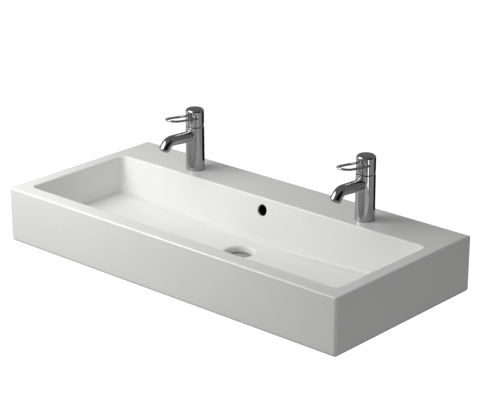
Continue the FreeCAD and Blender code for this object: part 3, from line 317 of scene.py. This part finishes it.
# The waste's tail has a pipe thread of 11 turns to the inch. It runs up to the middle of the relief, with
# one turn to spare below, and its groove takes this share of the pitch and starts at this angle.
TAIL_RADIUS = 20.95 * MM
TAIL_PITCH = 2.309 * MM
TAIL_DEPTH = 1.3 * MM
TAIL_RELIEF = -97.5 * MM
TAIL_STEPS = 72
TAIL_SPARE_TURNS = 1
GROOVE_SHARE = 0.94
GROOVE_START = math.radians(1.9)
# Threads are wound from an upright diamond. Corners this close merge, and edges past this angle stay sharp.
DIAMOND_CORNERS = 4
UPRIGHT = math.radians(90)
MERGE = 0.001 * MM
CREASE = math.radians(24)


def dress(piece, name, node):
    """Name the piece that stands for a CAD node on the fixed body, and give it the node's finish."""
    piece.name = piece.data.name = name
    piece.data.materials.clear()
    piece.data.materials.append(finish_of(node))
    bpy.ops.object.select_all(action="DESELECT")
    piece.select_set(True)
    bpy.context.view_layer.objects.active = piece
    bpy.ops.object.shade_smooth_by_angle(angle=CREASE)
    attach(piece, "root")
    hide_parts(node)


def wind(radius, deep, half_height, low, pitch, turns, steps, wanted):
    """A diamond beside the Z axis, of which the wanted corners stay, wound up the axis as a screw."""
    bpy.ops.object.select_all(action="DESELECT")
    bpy.ops.mesh.primitive_circle_add(
        vertices=DIAMOND_CORNERS, radius=deep, location=(radius, 0, low), rotation=(UPRIGHT, 0, 0))
    bpy.ops.object.transform_apply()
    coil = bpy.context.object
    bpy.ops.object.mode_set(mode="EDIT")
    bpy.ops.mesh.select_all(action="DESELECT")
    bpy.ops.object.mode_set(mode="OBJECT")
    for corner in coil.data.vertices:
        corner.select = not wanted(corner.co.x - radius)
    bpy.ops.object.mode_set(mode="EDIT")
    bpy.ops.mesh.delete(type="VERT")
    bpy.ops.mesh.select_all(action="SELECT")
    bpy.ops.transform.resize(value=(1, 1, half_height / deep), center_override=(radius, 0, low))
    bpy.ops.object.mode_set(mode="OBJECT")
    bpy.ops.object.modifier_add(type="SCREW")
    screw = coil.modifiers[-1]
    screw.axis = "Z"
    screw.screw_offset = pitch
    screw.iterations = turns
    screw.steps = screw.render_steps = steps
    bpy.ops.object.modifier_apply(modifier=screw.name)
    bpy.ops.object.mode_set(mode="EDIT")
    bpy.ops.mesh.select_all(action="SELECT")
    bpy.ops.mesh.remove_doubles(threshold=MERGE)
    return coil


def threaded_studs():
    """Rolled studs: a V groove from end to end, with both ends cut square. One is made and copied."""
    low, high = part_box("left_fixing_stud")
    radius = (high.x - low.x) / 2
    turns = math.ceil((high.z - low.z) / STUD_PITCH) + STUD_SPARE_TURNS
    stud = wind(radius, STUD_PITCH / 2, STUD_PITCH / 2, low.z - STUD_PITCH,
                STUD_PITCH, turns, STUD_STEPS, lambda out: out < MERGE)
    for end, away in ((high, 1), (low, -1)):
        bpy.ops.mesh.select_all(action="SELECT")
        bpy.ops.mesh.bisect(
            plane_co=(0, 0, end.z), plane_no=(0, 0, away), use_fill=True, clear_outer=True)
    bpy.ops.mesh.select_all(action="SELECT")
    bpy.ops.mesh.normals_make_consistent(inside=False)
    bpy.ops.transform.translate(value=((low.x + high.x) / 2, (low.y + high.y) / 2, 0))
    bpy.ops.object.mode_set(mode="OBJECT")
    bpy.ops.object.duplicate()
    twin = bpy.context.object
    bpy.ops.object.mode_set(mode="EDIT")
    bpy.ops.mesh.select_all(action="SELECT")
    bpy.ops.transform.translate(value=(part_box("right_fixing_stud")[0].x - low.x, 0, 0))
    bpy.ops.object.mode_set(mode="OBJECT")
    dress(stud, "left_threaded_stud", "left_fixing_stud")
    dress(twin, "right_threaded_stud", "right_fixing_stud")


def threaded_waste_body():
    """The waste's body with the pipe thread of its tail, which runs out into the relief under the nut."""
    node = frame["nodes"]["waste_body"]
    low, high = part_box("waste_body")
    middle = (low + high) / 2
    turns = round((TAIL_RELIEF - low.z) / TAIL_PITCH) + TAIL_SPARE_TURNS
    groove = wind(TAIL_RADIUS, TAIL_DEPTH, GROOVE_SHARE * TAIL_PITCH / 2, TAIL_RELIEF - turns * TAIL_PITCH,
                  TAIL_PITCH, turns, TAIL_STEPS, lambda out: True)
    bpy.ops.mesh.select_all(action="SELECT")
    bpy.ops.mesh.fill_holes(sides=DIAMOND_CORNERS)
    bpy.ops.mesh.normals_make_consistent(inside=False)
    # It starts clear of the seam of the body's mesh, so that the cut leaves that mesh closed.
    bpy.ops.transform.rotate(value=GROOVE_START, orient_axis="Z", center_override=(0, 0, 0))
    bpy.ops.transform.translate(value=(middle.x, middle.y, 0))
    bpy.ops.object.mode_set(mode="OBJECT")
    body = bpy.data.objects.new("threaded_waste_body", node.data.copy())
    bpy.context.collection.objects.link(body)
    bpy.ops.object.select_all(action="DESELECT")
    body.select_set(True)
    bpy.context.view_layer.objects.active = body
    bpy.ops.mesh.customdata_custom_splitnormals_clear()
    bpy.ops.object.mode_set(mode="EDIT")
    bpy.ops.mesh.select_all(action="SELECT")
    bpy.ops.mesh.remove_doubles(threshold=MERGE)
    bpy.ops.object.mode_set(mode="OBJECT")
    bpy.ops.object.modifier_add(type="BOOLEAN")
    cut = body.modifiers[-1]
    cut.object = groove
    cut.operation = "DIFFERENCE"
    cut.solver = "EXACT"
    bpy.ops.object.modifier_apply(modifier=cut.name)
    bpy.data.objects.remove(groove)
    dress(body, "threaded_waste_body", "waste_body")


threaded_studs()
threaded_waste_body()


# Stage: a pale floor as far below the rim as a basin hangs over it, soft light from the front left, and a
# white surround.

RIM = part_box("basin")[1].z
RIM_ABOVE_FLOOR = 0.85
FLOOR_SIZE = 30.0
FLOOR_GLOW = 0.85
# Brightness of the even fill on everything, and of the surround that the camera sees.
AMBIENT = 0.285
SURROUND = 1.0

# What mirrors see all around: a dim studio with bright and black cards. Azimuth runs from the user's side
# (-Y) towards +X. Each card has its azimuth, half width, lowest and highest elevation in degrees, and its
# brightness, and all have the same soft edge in degrees.
STUDIO_DIM = 0.19
CARDS = [
    ("left window", -75, 16, -50, 10, 1.15),
    ("right strip", 66, 6, -60, -8, 2.5),
    ("right wall", 112, 26, -60, -8, 0.39),
    ("black flag behind", 192, 46, -60, -8, 0.006),
    ("black flag right", 82, 34, -4, 45, 0.012),
    ("bright skyline", -140, 30, -5, 7, 0.7),
]
CARD_EDGE = 3


def pale_floor():
    """A matt pale floor; the camera also sees a white glow, so that it joins the surround."""
    finish, tree, _ = new_finish("matt_pale_floor", {
        "Base Color": linear("E6E6E6"), "Roughness": 0.9, "Emission Color": linear("FFFFFF")})
    path = add(tree, "LightPath", {}, {})
    glow = add(tree, "Math", {"operation": "MULTIPLY"}, {
        0: path["Is Camera Ray"], 1: FLOOR_GLOW})["Value"]
    drive(tree, {"Emission Strength": glow})
    # It is clear to mirrors, which see the studio, and from below, so that the underside shows.
    below = add(tree, "NewGeometry", {}, {})["Backfacing"]
    through = add(tree, "Math", {"operation": "MAXIMUM"}, {
        0: below, 1: path["Is Glossy Ray"]})["Value"]
    clear = add(tree, "BsdfTransparent", {}, {})["BSDF"]
    matt = tree.nodes["Principled BSDF"].outputs["BSDF"]
    both = add(tree, "MixShader", {}, {0: through, 1: matt, 2: clear})["Shader"]
    tree.links.new(both, tree.nodes["Material Output"].inputs["Surface"])
    return finish


bpy.ops.object.select_all(action="DESELECT")
bpy.ops.mesh.primitive_plane_add(size=FLOOR_SIZE, location=(0, 0, RIM - RIM_ABOVE_FLOOR))
floor = bpy.context.object
floor.name = "floor"
floor.data.materials.append(pale_floor())


def inside(tree, angle, low, high):
    """1 between two angles in degrees, falling to 0 over the cards' soft edge."""
    half = math.radians(high - low) / 2
    middle = math.radians(high + low) / 2
    edge = math.radians(CARD_EDGE)
    off = add(tree, "Math", {"operation": "SUBTRACT"}, {0: angle, 1: middle})["Value"]
    off = add(tree, "Math", {"operation": "WRAP"}, {0: off, 1: math.pi, 2: -math.pi})["Value"]
    off = add(tree, "Math", {"operation": "ABSOLUTE"}, {0: off})["Value"]
    return add(tree, "MapRange", {"interpolation_type": "SMOOTHSTEP"}, {
        "Value": off, "From Min": half - edge, "From Max": half + edge,
        "To Min": 1.0, "To Max": 0.0})["Result"]


def photo_studio():
    """White to the eye, a dim studio with cards to mirrors, and a dim even fill for everything else."""
    world = bpy.data.worlds.new("photo_studio")
    world.use_nodes = True
    tree = world.node_tree
    axes = add(tree, "SeparateXYZ", {}, {"Vector": add(tree, "TexCoord", {}, {})["Generated"]})
    user_side = add(tree, "Math", {"operation": "MULTIPLY"}, {0: axes["Y"], 1: -1.0})["Value"]
    azimuth = add(tree, "Math", {"operation": "ARCTAN2"}, {0: axes["X"], 1: user_side})["Value"]
    elevation = add(tree, "Math", {"operation": "ARCSINE"}, {0: axes["Z"]})["Value"]
    mirrored = STUDIO_DIM
    for name, middle, half, low, high, brightness in CARDS:
        across = inside(tree, azimuth, middle - half, middle + half)
        upright = inside(tree, elevation, low, high)
        card = add(tree, "Math", {"operation": "MULTIPLY", "label": name}, {
            0: across, 1: upright})["Value"]
        mirrored = add(tree, "Mix", {}, {
            BLEND_FACTOR: card, BLEND_FIRST: mirrored, BLEND_SECOND: brightness})[BLEND_RESULT]
    path = add(tree, "LightPath", {}, {})
    unseen = add(tree, "Mix", {}, {
        BLEND_FACTOR: path["Is Glossy Ray"], BLEND_FIRST: AMBIENT, BLEND_SECOND: mirrored})[BLEND_RESULT]
    strength = add(tree, "Mix", {}, {
        BLEND_FACTOR: path["Is Camera Ray"], BLEND_FIRST: unseen, BLEND_SECOND: SURROUND})[BLEND_RESULT]
    tree.nodes["Background"].inputs["Color"].default_value = linear("FFFFFF")
    tree.links.new(strength, tree.nodes["Background"].inputs["Strength"])
    return world


bpy.context.scene.world = photo_studio()


# Each softbox has its place, the point it looks at, and its power in watts.
SOFTBOX_SIDE = 0.9
SOFTBOXES = [
    ("left_key", (-0.9, -0.9, 1.0), (-0.3, -0.3, 0.0), 8.0),
    ("front_fill", (-0.4, -1.3, 0.55), (-0.15, -0.3, 0.0), 1.9),
    ("over_left", (-0.5, -0.95, 0.8), (-0.15, -0.3, 0.0), 4.6),
]


def aim(place, target):
    """The turn that makes a lamp or camera at one place look at another."""
    return (Vector(target) - Vector(place)).to_track_quat("-Z", "Y").to_euler()


for name, place, target, power in SOFTBOXES:
    lamp = bpy.data.lights.new(name, "AREA")
    lamp.shape = "RECTANGLE"
    lamp.size = SOFTBOX_SIDE
    lamp.size_y = SOFTBOX_SIDE
    lamp.energy = power
    stand = bpy.data.objects.new(name, lamp)
    stand.location = place
    stand.rotation_euler = aim(place, target)
    bpy.context.collection.objects.link(stand)


# Camera at the photograph's viewing angle.

CAMERA_PLACE = (2.511, -3.007, 1.4684)
CAMERA_TARGET = (0.0207, -0.2123, 0.070)
CAMERA_LENS_MM = 128.1
CAMERA_SENSOR_MM = 36

camera = bpy.data.objects.new("camera", bpy.data.cameras.new("camera"))
camera.data.lens = CAMERA_LENS_MM
camera.data.sensor_width = CAMERA_SENSOR_MM
camera.location = CAMERA_PLACE
camera.rotation_euler = aim(CAMERA_PLACE, CAMERA_TARGET)
bpy.context.collection.objects.link(camera)
bpy.context.scene.camera = camera
bpy.context.scene.view_settings.view_transform = "Standard"
